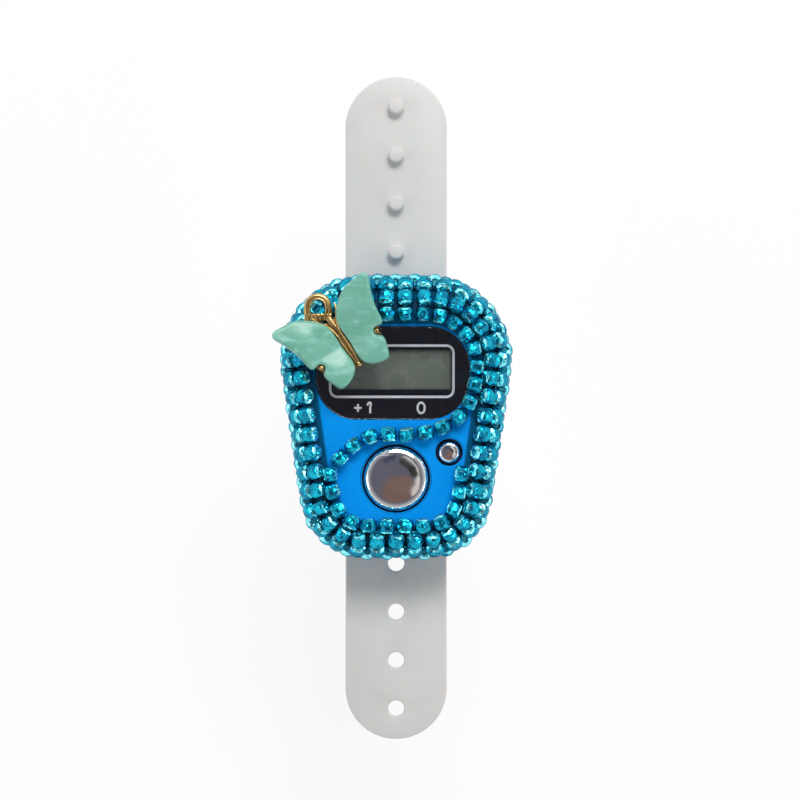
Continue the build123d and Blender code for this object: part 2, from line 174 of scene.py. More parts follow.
def feed(tree, socket, value):
    # a number is set on the socket, another node's output is linked to it
    if isinstance(value, bpy.types.NodeSocket):
        tree.links.new(value, socket)
    else:
        socket.default_value = value


def feedAll(tree, node, **values):
    # underscores stand for the spaces in socket names
    for key, value in values.items():
        feed(tree, node.inputs[key.replace("_", " ")], value)


def mathNode(tree, operation, *values):
    node = tree.nodes.new("ShaderNodeMath")
    node.operation = operation
    for socket, value in zip(node.inputs, values):
        feed(tree, socket, value)
    return node.outputs["Value"]


def vectorNode(tree, operation, *values, out="Vector"):
    node = tree.nodes.new("ShaderNodeVectorMath")
    node.operation = operation
    for socket, value in zip(node.inputs, values):
        feed(tree, socket, value)
    return node.outputs[out]


def spanNode(tree, value, start, end, low=0.0, high=1.0, kind="SMOOTHSTEP"):
    # from low at the start to high at the end
    node = tree.nodes.new("ShaderNodeMapRange")
    node.interpolation_type = kind
    feedAll(tree, node, Value=value, From_Min=start, From_Max=end, To_Min=low, To_Max=high)
    return node.outputs["Result"]


def noiseNode(tree, place, scale, detail=2.0, distortion=0.0):
    node = tree.nodes.new("ShaderNodeTexNoise")
    feedAll(tree, node, Vector=place, Scale=scale, Detail=detail, Distortion=distortion)
    return node.outputs["Fac"]


def mappingNode(tree, place, turn, stretch):
    # turned in plan, then squeezed along Y
    node = tree.nodes.new("ShaderNodeMapping")
    feedAll(tree, node, Vector=place, Rotation=(0, 0, turn), Scale=(1.0, stretch, 1.0))
    return node.outputs["Vector"]


def rampNode(tree, value, start, end, first=(0, 0, 0), last=(1, 1, 1)):
    node = tree.nodes.new("ShaderNodeValToRGB")
    for stop, place, colour in zip(node.color_ramp.elements, (start, end), (first, last)):
        stop.position, stop.color = place, (*colour, 1)
    tree.links.new(value, node.inputs["Fac"])
    return node.outputs["Color"]


def bumpNode(tree, height, strength, depth):
    node = tree.nodes.new("ShaderNodeBump")
    feedAll(tree, node, Height=height, Strength=strength, Distance=depth * mm)
    return node.outputs["Normal"]


def groupNode(tree, group, **values):
    node = tree.nodes.new("ShaderNodeGroup")
    node.node_tree = group
    feedAll(tree, node, **values)
    return node.outputs


def objectPlace(tree):
    return tree.nodes.new("ShaderNodeTexCoord").outputs["Object"]


def splitPlace(tree, place):
    node = tree.nodes.new("ShaderNodeSeparateXYZ")
    tree.links.new(place, node.inputs["Vector"])
    return node.outputs


def newGroup(name, inputs, outputs):
    group = bpy.data.node_groups.new(name, "ShaderNodeTree")
    for key, value in inputs.items():
        group.interface.new_socket(name=key, in_out="INPUT", socket_type="NodeSocketFloat").default_value = value
    for key in outputs:
        group.interface.new_socket(name=key, in_out="OUTPUT", socket_type="NodeSocketFloat")
    return group, group.nodes.new("NodeGroupInput").outputs, group.nodes.new("NodeGroupOutput").inputs


grainLook = {"detail": 6.0, "cloudScale": 0.12, "cloudDetail": 3.0, "span": (0.3, 0.7), "stops": (0.32, 0.68)}
scuffLook = {"runs": ((0.5, 14.0), (-0.9, 11.0)), "cut": (0.66, 0.74), "scale": 0.4}  # runs: turn and stretch


def makeGrain():
    # moulding grain: a fine mask, a slow cloud, and a gloss that follows the fine mask
    tree, given, result = newGroup("fineGrain", {"Scale": 400.0, "Rough Low": 0.3, "Rough High": 0.4, "Stretch": 1.0},
                                   ("Mask", "Cloud", "Roughness"))
    place = objectPlace(tree)
    stretch = tree.nodes.new("ShaderNodeCombineXYZ")
    feedAll(tree, stretch, X=1.0, Y=1.0, Z=given["Stretch"])
    drawn = vectorNode(tree, "MULTIPLY", place, stretch.outputs["Vector"])
    fine = noiseNode(tree, drawn, given["Scale"], grainLook["detail"])
    slow = mathNode(tree, "MULTIPLY", given["Scale"], grainLook["cloudScale"])
    cloud = noiseNode(tree, place, slow, grainLook["cloudDetail"])
    gloss = spanNode(tree, fine, *grainLook["span"], given["Rough Low"], given["Rough High"], "LINEAR")
    for key, value in (("Mask", fine), ("Cloud", cloud), ("Roughness", gloss)):
        tree.links.new(value, result[key])
    return tree


def makeScuffs():
    # sparse hairline scratches: a mask that is 1 on the scratch
    tree, given, result = newGroup("hairScuffs", {"Scale": 300.0, "Amount": 0.5}, ("Mask",))
    place = objectPlace(tree)
    masks = []
    for turn, stretch in scuffLook["runs"]:
        noise = noiseNode(tree, mappingNode(tree, place, turn, stretch), given["Scale"])
        masks.append(spanNode(tree, noise, *scuffLook["cut"], kind="LINEAR"))
    both = mathNode(tree, "MAXIMUM", *masks)
    tree.links.new(mathNode(tree, "MULTIPLY", both, given["Amount"]), result["Mask"])
    return tree


grainGroup, scuffGroup = makeGrain(), makeScuffs()


def makeFinish(name, light, dark, grain=400.0, rough=(0.3, 0.4), bump=0.1, depth=0.02, scuff=0.0, cloudy=0.5,
               stretch=1.0, sockets=None):
    # a moulded, printed, cast or plated finish: two close colours, grain in the gloss, a fine bump, a few scuffs
    mat = bpy.data.materials.new(name)
    mat.use_nodes = True
    tree = mat.node_tree
    shader = tree.nodes["Principled BSDF"]
    grained = groupNode(tree, grainGroup, Scale=grain, Rough_Low=rough[0], Rough_High=rough[1], Stretch=stretch)
    both = tree.nodes.new("ShaderNodeMix")  # grain and cloud together choose the colour
    feedAll(tree, both, Factor=cloudy, A=grained["Mask"], B=grained["Cloud"])
    colour = rampNode(tree, both.outputs["Result"], *grainLook["stops"], dark, light)
    roughness = grained["Roughness"]
    if scuff:
        scuffed = groupNode(tree, scuffGroup, Scale=grain * scuffLook["scale"], Amount=scuff)
        roughness = mathNode(tree, "ADD", roughness, scuffed["Mask"])
        roughness.node.use_clamp = True
    feedAll(tree, shader, Base_Color=colour, Roughness=roughness)
    if bump:
        feed(tree, shader.inputs["Normal"], bumpNode(tree, grained["Mask"], bump, depth))
    for key, value in (sockets or {}).items():
        shader.inputs[key].default_value = value
    return mat


metal = {"Metallic": 1.0}
casePlastic = makeFinish("casePlastic", (0.001, 0.305, 0.850), (0.001, 0.275, 0.790), 900, (0.30, 0.42), 0.10, 0.01,
                         0.12, sockets={"Specular IOR Level": 0.25})
chromePlate = makeFinish("chromePlate", (0.88, 0.87, 0.86), (0.80, 0.79, 0.78), 500, (0.05, 0.10), 0.12, 0.02, 0.16,
                         sockets=metal)
buttonSkirt = makeFinish("buttonSkirt", (0.004, 0.020, 0.070), (0.002, 0.012, 0.045), 900, (0.4, 0.5), 0.1, 0.01)
maskPrint = makeFinish("maskPrint", (0.001, 0.004, 0.010), (0.001, 0.002, 0.006), 600, (0.25, 0.35), 0,
                       sockets={"Specular IOR Level": 0.1})
lensClear = makeFinish("lensClear", (0.96, 0.97, 0.98), (0.94, 0.95, 0.96), 300, (0.02, 0.05), 0, 0.01, 0.10,
                       sockets={"Transmission Weight": 1.0, "IOR": 1.49})
whitePrint = makeFinish("whitePrint", (0.88, 0.88, 0.89), (0.74, 0.74, 0.76), 2500, (0.4, 0.5), 0.1, 0.01)
lcdGlass = makeFinish("lcdGlass", (0.93, 0.95, 0.93), (0.90, 0.92, 0.90), 300, (0.02, 0.03), 0,
                      sockets={"Transmission Weight": 1.0, "IOR": 1.5})
foamBlack = makeFinish("foamBlack", (0.05, 0.05, 0.05), (0.015, 0.015, 0.015), 3000, (0.8, 0.95), 0.6, 0.05)
rubberGrey = makeFinish("rubberGrey", (0.55, 0.55, 0.53), (0.48, 0.48, 0.46), 900, (0.5, 0.6), 0.1)
carbonPill = makeFinish("carbonPill", (0.03, 0.03, 0.03), (0.012, 0.012, 0.012), 1200, (0.6, 0.8), 0.2)
zebraRubber = makeFinish("zebraRubber", (0.42, 0.42, 0.45), (0.04, 0.04, 0.05), 900, (0.5, 0.6), 0.1, stretch=0.02)
boardMask = makeFinish("boardMask", (0.03, 0.26, 0.10), (0.01, 0.15, 0.06), 700, (0.3, 0.4), 0.1)
globEpoxy = makeFinish("globEpoxy", (0.03, 0.03, 0.03), (0.012, 0.012, 0.012), 600, (0.25, 0.45), 0.3, 0.03)
chipCeramic = makeFinish("chipCeramic", (0.55, 0.40, 0.26), (0.42, 0.30, 0.19), 1500, (0.5, 0.6), 0.1)
steelZinc = makeFinish("steelZinc", (0.66, 0.66, 0.68), (0.50, 0.50, 0.52), 1200, (0.25, 0.4), 0.2, 0.01, 0.2,
                       sockets=metal)
steelCell = makeFinish("steelCell", (0.75, 0.75, 0.74), (0.62, 0.62, 0.61), 500, (0.18, 0.3), 0.1, 0.01, 0.3,
                       sockets=metal)
nickelContact = makeFinish("nickelContact", (0.78, 0.74, 0.62), (0.66, 0.62, 0.50), 800, (0.2, 0.32), 0.1, 0.01, 0.2,
                           sockets=metal)
holderPlastic = makeFinish("holderPlastic", (0.05, 0.05, 0.055), (0.03, 0.03, 0.033), 900, (0.45, 0.55), 0.2)
glueClear = makeFinish("glueClear", (0.90, 0.90, 0.86), (0.82, 0.82, 0.78), 300, (0.15, 0.25), 0.2, 0.05,
                       sockets={"Transmission Weight": 0.6, "IOR": 1.48})
charmGold = makeFinish("charmGold", (0.68, 0.47, 0.21), (0.38, 0.25, 0.085), 500, (0.18, 0.34), 0.25, 0.03, 0.12,
                       sockets=metal)
beadSilver = makeFinish("beadSilver", (0.16, 0.72, 0.80), (0.04, 0.42, 0.52), 700, (0.15, 0.28), 0.1, 0.03,
                        sockets=metal)
strapSilicone = makeFinish("strapSilicone", (0.67, 0.67, 0.65), (0.59, 0.59, 0.57), 260, (0.34, 0.5), 0.15, 0.04,
                           0.08, cloudy=0.85, sockets={"Subsurface Weight": 0.3, "Subsurface Scale": 1.0 * mm,
                                                       "IOR": 1.41})


def mixColours(tree, fac, under, over, blend="MIX"):
    node = tree.nodes.new("ShaderNodeMix")
    node.data_type = "RGBA"
    node.blend_type = blend
    for socket, value in ((0, fac), (6, under), (7, (*over, 1))):  # the colour sockets of a Mix node
        feed(tree, node.inputs[socket], value)
    return node.outputs[2]


def layColour(mat, fac, colour, blend="MIX"):
    # one more colour over whatever drives the base colour
    tree = mat.node_tree
    base = tree.nodes["Principled BSDF"].inputs["Base Color"]
    tree.links.new(mixColours(tree, fac, base.links[0].from_socket, colour, blend), base)


lcd = {"middle": (-0.4, 6.75 + slip), "half": (8.3, 2.85), "border": (0.40, 0.05), "shade": (0.55, 0.56, 0.55)}


def makeLcdFilm():
    # blank reflective display: grey-green, darker along its border with painted shade from the walls of the window
    # opening
    mat = makeFinish("lcdFilm", (0.225, 0.260, 0.205), (0.205, 0.240, 0.188), 350, (0.22, 0.3), 0,
                     sockets={"Coat Weight": 0.3})
    tree = mat.node_tree
    split = splitPlace(tree, objectPlace(tree))
    edges = []
    for axis, middle, half in zip("XY", lcd["middle"], lcd["half"]):
        off = mathNode(tree, "ABSOLUTE", mathNode(tree, "SUBTRACT", split[axis], middle * mm))
        edges.append(spanNode(tree, off, *[(half - inset) * mm for inset in lcd["border"]]))
    # painted shade multiplied in along the border
    layColour(mat, mathNode(tree, "MAXIMUM", *edges), lcd["shade"], "MULTIPLY")
    return mat


resin = {"turn": 0.5, "stretch": 2.6, "scale": 190.0, "detail": 4.0, "swirl": 1.6, "stops": (0.5, 0.76),
         "pearl": (0.32, 0.62, 0.53), "depth": (0.6, 1.0, 0.9)}


def makeResin():
    # milky mint resin with slow pearl streaks
    mat = makeFinish("charmResin", (0.20, 0.49, 0.39), (0.14, 0.39, 0.29), 200, (0.22, 0.36), 0.10, 0.06,
                     sockets={"Subsurface Weight": 0.3, "Subsurface Scale": 0.9 * mm, "Coat Weight": 0.12,
                              "Coat Roughness": 0.15, "Specular IOR Level": 0.35, "IOR": 1.5,
                              "Subsurface Radius": resin["depth"]})
    tree = mat.node_tree
    place = mappingNode(tree, objectPlace(tree), resin["turn"], resin["stretch"])
    streak = noiseNode(tree, place, resin["scale"], resin["detail"], resin["swirl"])
    layColour(mat, rampNode(tree, streak, *resin["stops"]), resin["pearl"])
    return mat


foil = {"scale": 1400.0, "strength": 0.8, "depth": 0.3, "arcScale": 480.0, "stops": (0.29, 0.40),
        "arc": (0.28, 0.93, 1.0)}


def makeBeadGlass():
    # teal glass over a silver lining: crinkled foil under a thin clear coat, with painted highlight arcs round the ends
    mat = makeFinish("beadGlass", (0.008, 0.560, 0.740), (0.001, 0.090, 0.220), 1000, (0.08, 0.18), 0, cloudy=0.1,
                     sockets={"Metallic": 0.9, "Specular Tint": (0.05, 0.45, 0.60, 1), "Coat Weight": 0.15,
                              "Coat Roughness": 0.03, "Coat IOR": 1.5})
    tree = mat.node_tree
    place = objectPlace(tree)
    facets = tree.nodes.new("ShaderNodeTexVoronoi")
    feedAll(tree, facets, Vector=place, Scale=foil["scale"])
    crinkle = bumpNode(tree, facets.outputs["Distance"], foil["strength"], foil["depth"])
    feed(tree, tree.nodes["Principled BSDF"].inputs["Normal"], crinkle)
    ring = tree.nodes.new("ShaderNodeAttribute")
    ring.attribute_name = "ring"
    # painted highlight: the end rings, broken into arcs by noise, take a bright cyan
    paintedArcs = noiseNode(tree, place, foil["arcScale"])  # breaks the end rings into arcs
    both = mathNode(tree, "MULTIPLY", ring.outputs["Fac"], paintedArcs)
    layColour(mat, rampNode(tree, both, *foil["stops"]), foil["arc"])
    return mat


caseShadeLook = {"window": (-0.5, 6.3 + slip, 0), "straight": (5.1, 0.7, 99), "reach": (6.0, 6.5), "upper": (0.5, 6.0),
        "drop": (0.002, 0.06), "glue": (0.001, 0.085, 0.190), "soft": 0.1,
        "clear": ((countSpot, 5.0), (resetSpot, 2.1))}  # round each button: place and reach


def makeCasePaintedShade():
    # the front shell: blue on its face, with painted shade in dark navy below the face where the beads sit and between
    # the beads and the window
    mat = makeFinish("caseTrim", (0.001, 0.300, 0.840), (0.001, 0.270, 0.780), 900, (0.30, 0.42), 0.10, 0.01, 0.12,
                     sockets={"Specular IOR Level": 0.08})
    tree = mat.node_tree
    place = objectPlace(tree)
    split = splitPlace(tree, place)
    middle, straight = [[value * mm for value in caseShadeLook[key]] for key in ("window", "straight")]
    off = vectorNode(tree, "ABSOLUTE", vectorNode(tree, "SUBTRACT", place, middle))
    off = vectorNode(tree, "MAXIMUM", vectorNode(tree, "SUBTRACT", off, straight), (0, 0, 0))
    away = vectorNode(tree, "LENGTH", off, out="Value")  # from the window's straight middle
    ring = mathNode(tree, "MULTIPLY", spanNode(tree, away, *[value * mm for value in caseShadeLook["reach"]]),
                    spanNode(tree, split["Y"], *[value * mm for value in caseShadeLook["upper"]]))
    lower = spanNode(tree, split["Z"], *[(faceZ - value) * mm for value in caseShadeLook["drop"]])
    for (x, y), reach in caseShadeLook["clear"]:
        off = vectorNode(tree, "DISTANCE", place, (x * mm, y * mm, faceZ * mm), out="Value")
        lower = mathNode(tree, "MULTIPLY", lower, spanNode(tree, off, reach * mm, (reach + caseShadeLook["soft"]) * mm))
    # painted shade: the ring above the window and everything below the face level, kept clear round the buttons
    layColour(mat, mathNode(tree, "MAXIMUM", ring, lower), caseShadeLook["glue"])
    return mat


lcdFilm, charmResin, beadGlass, caseTrim = makeLcdFilm(), makeResin(), makeBeadGlass(), makeCasePaintedShade()

cadFinishes = {
    "front_shell": caseTrim, "rear_cover": casePlastic, "battery_cap": casePlastic, "case_screws": steelZinc,
    "window_lens": lensClear, "window_mask": maskPrint, "lcd_front_polariser": lcdFilm, "lcd_front_glass": lcdGlass,
    "lcd_rear_glass": lcdGlass, "lcd_reflector": lcdFilm, "lcd_foam_pad": foamBlack, "zebra_strip": zebraRubber,
    "circuit_board": boardMask, "chip_glob": globEpoxy, "chip_capacitors": chipCeramic, "board_screws": steelZinc,
    "count_pill": carbonPill, "reset_pill": carbonPill,
    "button_cell": steelCell, "cell_holder": holderPlastic, "positive_contact": nickelContact,
    "negative_contact": nickelContact, "charm_glue": glueClear,
}
for nodeName, finish in cadFinishes.items():
    nodes[nodeName].data.materials.clear()
    nodes[nodeName].data.materials.append(finish)
print("finishes on", len(cadFinishes), "CAD nodes")


bead = {"radius": 1.18, "length": 2.06, "hole": 0.42, "lip": 0.04, "sides": 12, "round": 0.52, "steps": 3,
        "thread": 0.3, "dim": 0.3, "near": 0.05, "merge": 0.0005, "mouth": 1.06, "tilt": 7, "size": 0.04, "seed": 11,
        "gap": 0.06}


def makeBead():
    # a cylinder, both ends inset and sunk into a lined hole that the thread fills, rims rounded
    clearSelection()
    bpy.ops.mesh.primitive_cylinder_add(vertices=bead["sides"], radius=bead["radius"] * mm, depth=bead["length"] * mm)
    obj = startPiece("beadMaster")
    flat = math.cos(math.pi / bead["sides"])
    pickFaces(obj, lambda face: looksUp(face) or looksDown(face))
    bpy.ops.mesh.inset(thickness=(bead["radius"] - bead["hole"]) * flat * mm, depth=0)
    bpy.ops.mesh.inset(thickness=bead["lip"] * mm, depth=-bead["thread"] * mm)
    leaveEdit()
    near = bead["near"] * mm
    outer, inner = bead["radius"] * mm - near, bead["hole"] * mm + near
    pickEdges(obj, lambda a, b: min(a.xy.length, b.xy.length) > outer and abs(a.z - b.z) < near)
    bpy.ops.mesh.bevel(offset=bead["round"] * mm, segments=bead["steps"])
    leaveEdit()
    outward(obj)
    smooth(obj, 60)
    # the ring attribute masks the painted highlight arcs round each end; the lining in the hole gets a low fixed value
    ring = obj.data.attributes.new("ring", "FLOAT", "POINT")
    for vert in obj.data.vertices:  # 1 on the flat of each end, 0 where its rounding starts
        level = 1 - (bead["length"] / 2 - abs(vert.co.z) / mm) / bead["round"]
        ring.data[vert.index].value = max(0, level) if vert.co.xy.length > inner else bead["dim"]
    obj.data.materials.append(beadGlass)
    obj.data.materials.append(beadSilver)
    for face in obj.data.polygons:
        face.material_index = 1 if face.center.xy.length < inner else 0
    return obj


def beadPlaces(node):
    # centre and thread axis of every bead in a CAD row
    work = bmesh.new()
    work.from_mesh(node.data)
    bmesh.ops.remove_doubles(work, verts=work.verts, dist=bead["merge"] * mm)
    places, seen = [], set()
    for start in work.verts:
        if start in seen:
            continue
        island, todo = [], [start]
        seen.add(start)
        while todo:
            vert = todo.pop()
            island.append(vert.co.copy())
            for edge in vert.link_edges:
                other = edge.other_vert(vert)
                if other not in seen:
                    seen.add(other)
                    todo.append(other)
        centre = sum(boxOf(island), Vector()) / 2
        rim = [co - centre for co in island if (co - centre).length < bead["mouth"] * mm]  # the hole's two mouths
        far = max(rim, key=lambda co: max((co - other).length for other in rim))
        mouth = sum([co for co in rim if co.dot(far) > 0], Vector())
        mouth = sum([co for co in rim if co.dot(mouth) > 0], Vector())
        places.append((centre, mouth.normalized()))
    work.free()
    return places


def threadRow(nodeName, master, dice):
    copies = []
    places = beadPlaces(nodes[nodeName])
    for centre, axis in places:
        near = min((other - centre for other, _ in places if other is not centre), key=lambda way: way.length)
        copy = master.copy()
        copy.data = master.data.copy()
        bpy.context.scene.collection.objects.link(copy)
        lean = Matrix.Rotation(math.radians(dice.uniform(-1, 1) * bead["tilt"]), 4, "X")
        lean = Matrix.Rotation(math.radians(dice.uniform(-1, 1) * bead["tilt"]), 4, "Y") @ lean
        spin = Matrix.Rotation(dice.uniform(0, math.tau), 4, "Z")
        size = Matrix.Scale(1 - dice.uniform(0, 1) * bead["size"], 4)
        turn = axis.to_track_quat("Z", "Y").to_matrix().to_4x4()
        widen = (near.length / mm - bead["gap"]) / (2 * bead["radius"])
        fill = Matrix.Scale(widen, 4, near.normalized())  # so that it fills its place in the row
        copy.matrix_world = Matrix.Translation(centre) @ fill @ turn @ lean @ spin @ size
        copies.append(copy)
    row = joinAll(copies, "beads" + "".join(word.title() for word in nodeName.split("_")[2:]))
    settle(row)
    dress(row, "case", None, nodeName, slot="bead_aqua")
    return len(copies)


beadMaster = makeBead()
print("bead faces:", len(beadMaster.data.polygons))
dice = random.Random(bead["seed"])
beadTotal = sum(threadRow(name, beadMaster, dice) for name in sorted(nodes) if name.startswith("bead_row_"))
bpy.data.objects.remove(beadMaster)
print("beads threaded:", beadTotal)


strap = {"half": 7.5, "end": 49.1, "low": 1.35, "high": 2.55, "edge": 0.3, "pitch": 7.18, "margin": 4.5, "stops": 4,
         "pegRadius": 1.15, "pegHeight": 1.7, "pegRound": 0.45, "pegRoot": 0.5, "holeRadius": 1.2, "holeRim": 0.3,
         "upperSeam": 7.06, "lowerSeam": -9.54, "fold": 12.0, "lead": 1.5, "bend": 5.0, "cuts": 14, "near": 0.01,
         "endSteps": 20, "edgeSteps": 3, "pegSteps": 5, "sides": 32, "punch": 3.0, "flare": (30, 60, 90)}


def makeBand(name, startY, endY, rounded):
    # a block with its end corners rounded right over, soft rims, and cross cuts where it has to bend
    clearSelection()
    low, high = strap["low"], strap["high"]
    bpy.ops.mesh.primitive_cube_add(size=1, location=(0, (startY + endY) / 2 * mm, (low + high) / 2 * mm))
    obj = startPiece(name)
    obj.scale = (strap["half"] * 2 * mm, abs(endY - startY) * mm, (high - low) * mm)
    settle(obj)
    near = strap["near"] * mm
    seams = [startY * mm] if rounded else [startY * mm, endY * mm]
    if rounded:
        last = endY * mm
        pickEdges(obj, lambda a, b: abs(a.y - last) < near and abs(b.y - last) < near and abs(a.x - b.x) < near)
        bpy.ops.mesh.bevel(offset=strap["half"] * mm - near, segments=strap["endSteps"], profile=0.5)
        leaveEdit()
    pickEdges(obj, lambda a, b: abs(a.z - b.z) < near and abs(a.y - b.y) + abs(a.x - b.x) > near and not any(
        abs(a.y - seam) < near and abs(b.y - seam) < near for seam in seams))
    bpy.ops.mesh.bevel(offset=strap["edge"] * mm, segments=strap["edgeSteps"], profile=0.5)
    leaveEdit()
    if rounded:
        sign = 1 if endY > startY else -1
        for i in range(strap["cuts"] + 1):
            part = i / strap["cuts"]
            cutY = sign * (strap["fold"] + strap["bend"] * part - strap["lead"] * (1 - part)) + slip
            editAll(obj)
            bpy.ops.mesh.bisect(plane_co=(0, cutY * mm, 0), plane_no=(0, 1, 0))
            leaveEdit()
    return obj


def stopPlaces(sign):
    return [sign * (strap["end"] - strap["margin"] - i * strap["pitch"]) for i in range(strap["stops"])]


def makePeg(y):
    clearSelection()
    height = strap["pegHeight"] + strap["pegRoot"]
    bpy.ops.mesh.primitive_cylinder_add(
        vertices=strap["sides"], radius=strap["pegRadius"] * mm, depth=height * mm,
        location=(0, y * mm, (strap["high"] - strap["pegRoot"] + height / 2) * mm))
    peg = startPiece("peg")
    settle(peg)
    top = (strap["high"] + strap["pegHeight"] - strap["near"]) * mm
    pickEdges(peg, lambda a, b: min(a.z, b.z) > top)
    bpy.ops.mesh.bevel(offset=strap["pegRound"] * mm, segments=strap["pegSteps"], profile=0.5)
    leaveEdit()
    return peg


def makePunch(y):
    # a straight punch that flares at the top face, for the hole's soft rim
    clearSelection()
    rim, radius = strap["holeRim"], strap["holeRadius"]
    bpy.ops.mesh.primitive_cylinder_add(vertices=strap["sides"], radius=radius * mm, depth=strap["punch"] * mm,
                                        location=(0, y * mm, (strap["high"] - rim - strap["punch"] / 2) * mm))
    punch = startPiece("punch")
    settle(punch)
    pickFaces(punch, looksUp)
    level, reach = 0, radius
    for turn in strap["flare"]:
        nextLevel = rim * math.sin(math.radians(turn))
        nextReach = radius + rim * (1 - math.cos(math.radians(turn)))
        extrudeBy(nextLevel - level)
        flare = nextReach / reach
        bpy.ops.transform.resize(value=(flare, flare, 1), center_override=(0, y * mm, 0))
        level, reach = nextLevel, nextReach
    extrudeBy(rim)
    leaveEdit()
    return punch


def cutIn(obj, tool, operation):
    applyModifier(obj, "BOOLEAN", operation=operation, object=tool, solver="EXACT")
    bpy.data.objects.remove(tool)


def makeStrap():
    upper = makeBand("strapUpper", strap["upperSeam"], strap["end"], True)
    lower = makeBand("strapLower", strap["lowerSeam"], -strap["end"], True)
    middle = makeBand("strapMiddle", strap["lowerSeam"], strap["upperSeam"], False)
    for y in stopPlaces(1):
        cutIn(upper, makePeg(y), "UNION")
    for y in stopPlaces(-1):
        cutIn(lower, makePunch(y), "DIFFERENCE")
    for obj in (upper, lower, middle):
        outward(obj)
        smooth(obj, 35)
        obj.data.materials.clear()
        obj.data.materials.append(strapSilicone)
    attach(middle, "case")
    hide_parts("strap_middle")
    for obj, body, sign in ((upper, "strap_upper_tail", 1), (lower, "strap_lower_tail", -1)):
        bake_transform(obj)
        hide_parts(body)
        print(obj.name, "faces", len(obj.data.polygons))


makeStrap()


countCap = {"node": "count_button", "spot": countSpot, "radius": 4.56, "top": 14.8, "crown": 0.25, "edge": 0.45,
            "flange": 1.1, "stem": 2.025}
resetCap = {"node": "reset_button", "spot": resetSpot, "radius": 1.5, "top": 14.3, "crown": 0.1, "edge": 0.28,
            "flange": 1.0, "stem": 0.625}
capLevels = {"flangeTop": 12.14, "flange": 0.5, "stem": 0.3, "sides": 64, "rings": 5, "middle": 0.4, "skirt": 13.2,
             "roll": 0.32, "rollSteps": 5, "near": 0.01}


def makeCap(name, cap):
    # flange disc, raised cap with a rolled rim and a low crown, stub below
    clearSelection()
    flangeZ = capLevels["flangeTop"] - capLevels["flange"]
    x, y = cap["spot"]
    bpy.ops.mesh.primitive_cylinder_add(
        vertices=capLevels["sides"], radius=(cap["radius"] + cap["flange"]) * mm, depth=capLevels["flange"] * mm,
        location=(x * mm, y * mm, (flangeZ + capLevels["flange"] / 2) * mm))
    obj = startPiece(name)
    settle(obj)
    flat = math.cos(math.pi / capLevels["sides"])
    rimZ = cap["top"] - cap["crown"]
    pickFaces(obj, looksUp)
    bpy.ops.mesh.inset(thickness=cap["flange"] * flat * mm, depth=0)
    extrudeBy(rimZ - capLevels["flangeTop"])
    leaveEdit()
    pickEdges(obj, lambda a, b: min(a.z, b.z) > (rimZ - capLevels["near"]) * mm)
    bpy.ops.mesh.bevel(offset=cap["edge"] * mm, segments=capLevels["rollSteps"], profile=capLevels["roll"])
    leaveEdit()
    rings = capLevels["rings"]
    step = (cap["radius"] - cap["edge"]) / (rings + capLevels["middle"]) * flat
    pickFaces(obj, lambda face: looksUp(face) and len(face.vertices) == capLevels["sides"])
    for ring in range(rings):  # the crown, in rings that rise less and less
        rise = (1 - ring / rings) ** 2 - (1 - (ring + 1) / rings) ** 2
        bpy.ops.mesh.inset(thickness=step * mm, depth=0)
        bpy.ops.transform.translate(value=(0, 0, rise * cap["crown"] * mm))
    leaveEdit()
    pickFaces(obj, looksDown)
    bpy.ops.mesh.inset(thickness=(cap["radius"] + cap["flange"] - cap["stem"]) * flat * mm, depth=0)
    extrudeBy(-capLevels["stem"])
    leaveEdit()
    outward(obj)
    smooth(obj, 40)
    dress(obj, cap["node"], chromePlate, cap["node"], slot="button_chrome")
    obj.data.materials.append(buttonSkirt)
    for face in obj.data.polygons:
        face.material_index = 1 if face.center.z < capLevels["skirt"] * mm and abs(face.normal.z) > 0.5 else 0


countDome = {"node": "count_dome", "button": "count_button", "foot": 3.4, "top": 2.2}
resetDome = {"node": "reset_dome", "button": "reset_button", "foot": 2.3, "top": 1.5}
domeRubber = {"sides": 48, "edge": 0.2, "edgeSteps": 3, "wall": 0.5, "hold": 0.6, "rings": 5, "near": 0.01}


def makeDome(name, dome):
    # a hollow rubber cone under its button
    clearSelection()
    low, high = boxOf([vert.co for vert in nodes[dome["node"]].data.vertices])
    middle = (low + high) / 2
    bpy.ops.mesh.primitive_cone_add(vertices=domeRubber["sides"], radius1=dome["foot"] * mm, radius2=dome["top"] * mm,
                                    depth=high.z - low.z, location=middle)
    obj = startPiece(name)
    settle(obj)
    pickEdges(obj, lambda a, b: min(a.z, b.z) > high.z - domeRubber["near"] * mm)
    bpy.ops.mesh.bevel(offset=domeRubber["edge"] * mm, segments=domeRubber["edgeSteps"], profile=0.5)
    leaveEdit()
    pickFaces(obj, looksDown)
    bpy.ops.mesh.delete(type="FACE")
    hold = high.z - domeRubber["hold"] * mm  # the cross cuts stop this far under the top
    for i in range(domeRubber["rings"]):
        bpy.ops.mesh.select_all(action="SELECT")
        bpy.ops.mesh.bisect(plane_co=(0, 0, low.z + (hold - low.z) * (i + 1) / domeRubber["rings"]), plane_no=(0, 0, 1))
    leaveEdit()
    applyModifier(obj, "SOLIDIFY", thickness=domeRubber["wall"] * mm, offset=-1)
    outward(obj)
    smooth(obj)
    obj.data.materials.clear()
    obj.data.materials.append(rubberGrey)
    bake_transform(obj)
    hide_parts(dome["node"])


makeCap("countCap", countCap)
makeCap("resetCap", resetCap)
makeDome("countDome", countDome)
makeDome("resetDome", resetDome)
print("buttons done")


